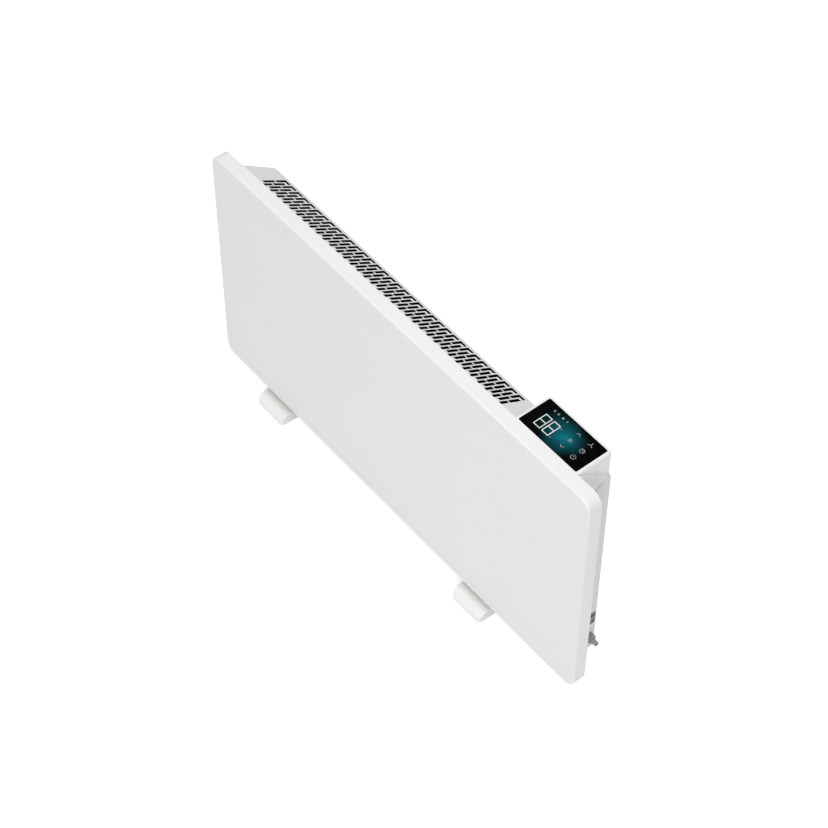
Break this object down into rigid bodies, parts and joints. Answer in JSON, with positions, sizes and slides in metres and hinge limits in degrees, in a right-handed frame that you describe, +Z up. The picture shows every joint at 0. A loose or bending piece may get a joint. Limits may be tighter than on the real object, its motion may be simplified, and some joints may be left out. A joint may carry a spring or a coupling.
{
  "type": "wall panel convector heater",
  "caption": "White steel panel convector heater with a slotted sloping top, a touch-control pod, a mains rocker switch and low moulded feet.",
  "frame": {"origin": "bottom centre of the whole heater, on the surface its feet stand on", "axes": "+X to the right along the panel as seen from the front, +Y from the panel back to the wall, +Z up"},
  "size_m": [0.83, 0.116, 0.46],
  "materials": {
    "panel_paint": "fine-textured white powder coat",
    "casing_paint": "fine-textured white powder coat",
    "white_plastic": "satin moulded plastic",
    "foot_plastic": "satin moulded plastic",
    "black_glass": "gloss, dark printed back",
    "grey_plastic": "satin moulded plastic",
    "dark_plastic": "semi-gloss",
    "black_rubber": "matte",
    "grey_rubber": "matte",
    "screw_steel": "zinc plated",
    "galvanised_steel": "galvanised, faint spangle",
    "black_paint": "matt heat-resistant coat",
    "fin_aluminium": "extruded, satin",
    "tube_steel": "heat-tinted",
    "ceramic": "unglazed steatite",
    "green_board": "solder-mask board with dark components",
    "ivory_plastic": "moulded",
    "brass_blade": "tinned brass",
    "ribbon_sheath": "flat cable sheath",
    "silicone_sheath": "silicone"
  },
  "bodies": {
    "heater": {"front_panel": "panel_paint", "rear_casing": "casing_paint", "casing_screws": "screw_steel", "pod_housing": "white_plastic", "touch_glass": "black_glass", "pod_screws": "screw_steel", "display_board": "green_board", "display_screws": "screw_steel", "display_ribbon": "ribbon_sheath", "bay_partition": "galvanised_steel", "partition_grommet": "black_rubber", "board_tray": "ivory_plastic", "power_board": "green_board", "board_screws": "screw_steel", "tilt_switch": "dark_plastic", "terminal_block": "ivory_plastic", "element_leads": "silicone_sheath", "room_sensor": "ivory_plastic", "earth_screw": "screw_steel", "element_fins": "fin_aluminium", "element_core": "tube_steel", "element_insulators": "ceramic", "element_brackets": "galvanised_steel", "heat_reflector": "black_paint", "inner_screws": "screw_steel", "thermal_cutout": "dark_plastic", "switch_body": "grey_plastic", "switch_terminals": "brass_blade", "gland_body": "grey_plastic", "gland_cap": "grey_plastic", "gland_seal": "grey_rubber", "gland_locknut": "grey_plastic", "left_foot": "foot_plastic", "right_foot": "foot_plastic", "foot_pads": "black_rubber", "foot_screws": "screw_steel", "wall_bracket": "galvanised_steel", "wall_spacers": "white_plastic"},
    "rocker": {"switch_rocker": "dark_plastic"}
  },
  "joints": [
    {"name": "rocker_tip", "type": "hinge", "parent": "heater", "child": "rocker", "pos_m": [0.3685, 0.0317, 0.093], "axis": [0, 1, 0], "range_deg": [-16, 0]}
  ]
}
